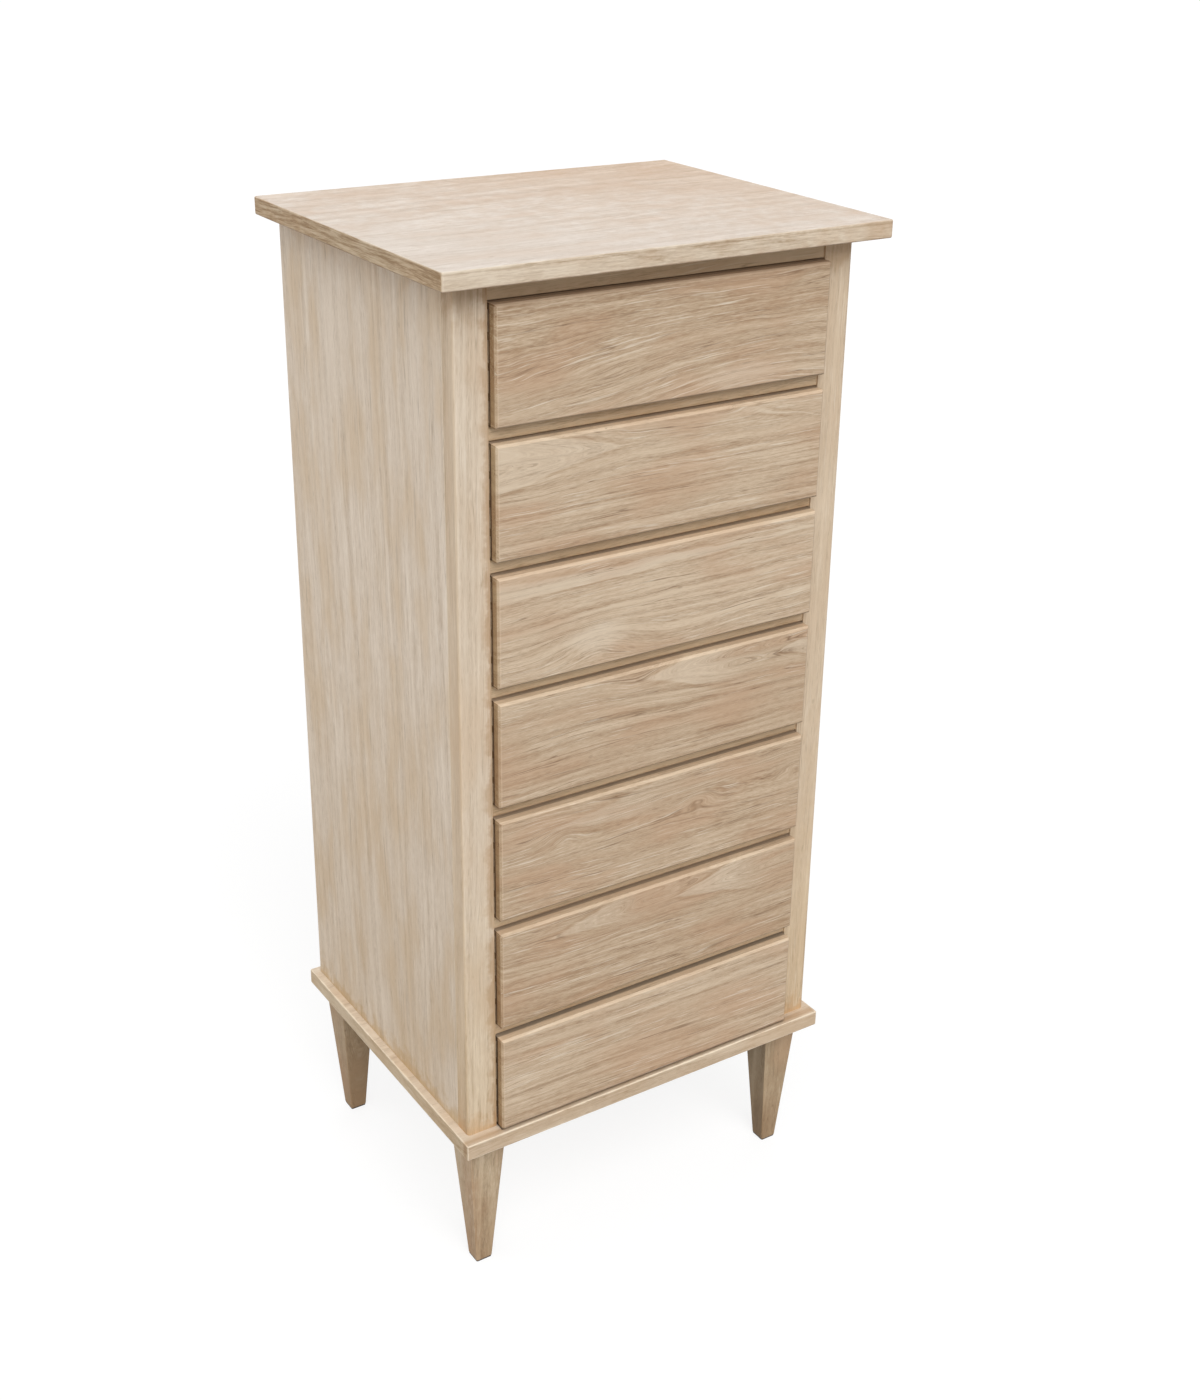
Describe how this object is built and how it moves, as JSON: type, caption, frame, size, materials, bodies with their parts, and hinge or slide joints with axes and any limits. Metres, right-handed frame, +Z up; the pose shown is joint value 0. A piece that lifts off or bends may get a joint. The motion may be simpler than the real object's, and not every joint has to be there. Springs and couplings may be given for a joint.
{
  "type": "semainier",
  "caption": "Tall narrow chest of equal drawers in pale limed oak, with proud inset fronts, an overhanging top board, a base board and square tapered legs.",
  "frame": {"origin": "on the floor, under the middle of the chest's outline", "axes": "+X to the right as one faces the drawers, +Y to the back, +Z up"},
  "size_m": [0.55, 0.448, 1.23],
  "materials": {
    "top_oak": "limed oak, open grain, matt oil",
    "frame_oak": "limed oak, fine straight grain, matt oil",
    "side_oak": "limed oak, fine vertical grain, matt oil",
    "front_oak": "limed oak with a cathedral figure, matt oil",
    "leg_oak": "limed oak, vertical grain, matt oil",
    "box_oak": "plain planed oak, unfinished",
    "plywood": "thin plywood, unfinished",
    "glide_plastic": "dark brown moulded plastic"
  },
  "bodies": {
    "carcass": {"top_board": "top_oak", "base_board": "frame_oak", "side_panel_left": "side_oak", "side_panel_right": "side_oak", "stile_left": "frame_oak", "stile_right": "frame_oak", "top_rail": "frame_oak", "divider_rail_1": "frame_oak", "divider_rail_2": "frame_oak", "divider_rail_3": "frame_oak", "divider_rail_4": "frame_oak", "divider_rail_5": "frame_oak", "divider_rail_6": "frame_oak", "top_back_rail": "box_oak", "back_panel": "plywood", "leg_front_left": "leg_oak", "leg_front_right": "leg_oak", "leg_back_left": "leg_oak", "leg_back_right": "leg_oak", "glide_front_left": "glide_plastic", "glide_front_right": "glide_plastic", "glide_back_left": "glide_plastic", "glide_back_right": "glide_plastic"},
    "drawer_1": {"drawer_1_front": "front_oak", "drawer_1_side_left": "box_oak", "drawer_1_side_right": "box_oak", "drawer_1_back": "box_oak", "drawer_1_bottom": "plywood"},
    "drawer_2": {"drawer_2_front": "front_oak", "drawer_2_side_left": "box_oak", "drawer_2_side_right": "box_oak", "drawer_2_back": "box_oak", "drawer_2_bottom": "plywood"},
    "drawer_3": {"drawer_3_front": "front_oak", "drawer_3_side_left": "box_oak", "drawer_3_side_right": "box_oak", "drawer_3_back": "box_oak", "drawer_3_bottom": "plywood"},
    "drawer_4": {"drawer_4_front": "front_oak", "drawer_4_side_left": "box_oak", "drawer_4_side_right": "box_oak", "drawer_4_back": "box_oak", "drawer_4_bottom": "plywood"},
    "drawer_5": {"drawer_5_front": "front_oak", "drawer_5_side_left": "box_oak", "drawer_5_side_right": "box_oak", "drawer_5_back": "box_oak", "drawer_5_bottom": "plywood"},
    "drawer_6": {"drawer_6_front": "front_oak", "drawer_6_side_left": "box_oak", "drawer_6_side_right": "box_oak", "drawer_6_back": "box_oak", "drawer_6_bottom": "plywood"},
    "drawer_7": {"drawer_7_front": "front_oak", "drawer_7_side_left": "box_oak", "drawer_7_side_right": "box_oak", "drawer_7_back": "box_oak", "drawer_7_bottom": "plywood"}
  },
  "joints": [
    {"name": "drawer_1_slide", "type": "slide", "parent": "carcass", "child": "drawer_1", "axis": [0, -1, 0], "range_m": [0, 0.27]},
    {"name": "drawer_2_slide", "type": "slide", "parent": "carcass", "child": "drawer_2", "axis": [0, -1, 0], "range_m": [0, 0.27]},
    {"name": "drawer_3_slide", "type": "slide", "parent": "carcass", "child": "drawer_3", "axis": [0, -1, 0], "range_m": [0, 0.27]},
    {"name": "drawer_4_slide", "type": "slide", "parent": "carcass", "child": "drawer_4", "axis": [0, -1, 0], "range_m": [0, 0.27]},
    {"name": "drawer_5_slide", "type": "slide", "parent": "carcass", "child": "drawer_5", "axis": [0, -1, 0], "range_m": [0, 0.27]},
    {"name": "drawer_6_slide", "type": "slide", "parent": "carcass", "child": "drawer_6", "axis": [0, -1, 0], "range_m": [0, 0.27]},
    {"name": "drawer_7_slide", "type": "slide", "parent": "carcass", "child": "drawer_7", "axis": [0, -1, 0], "range_m": [0, 0.27]}
  ]
}
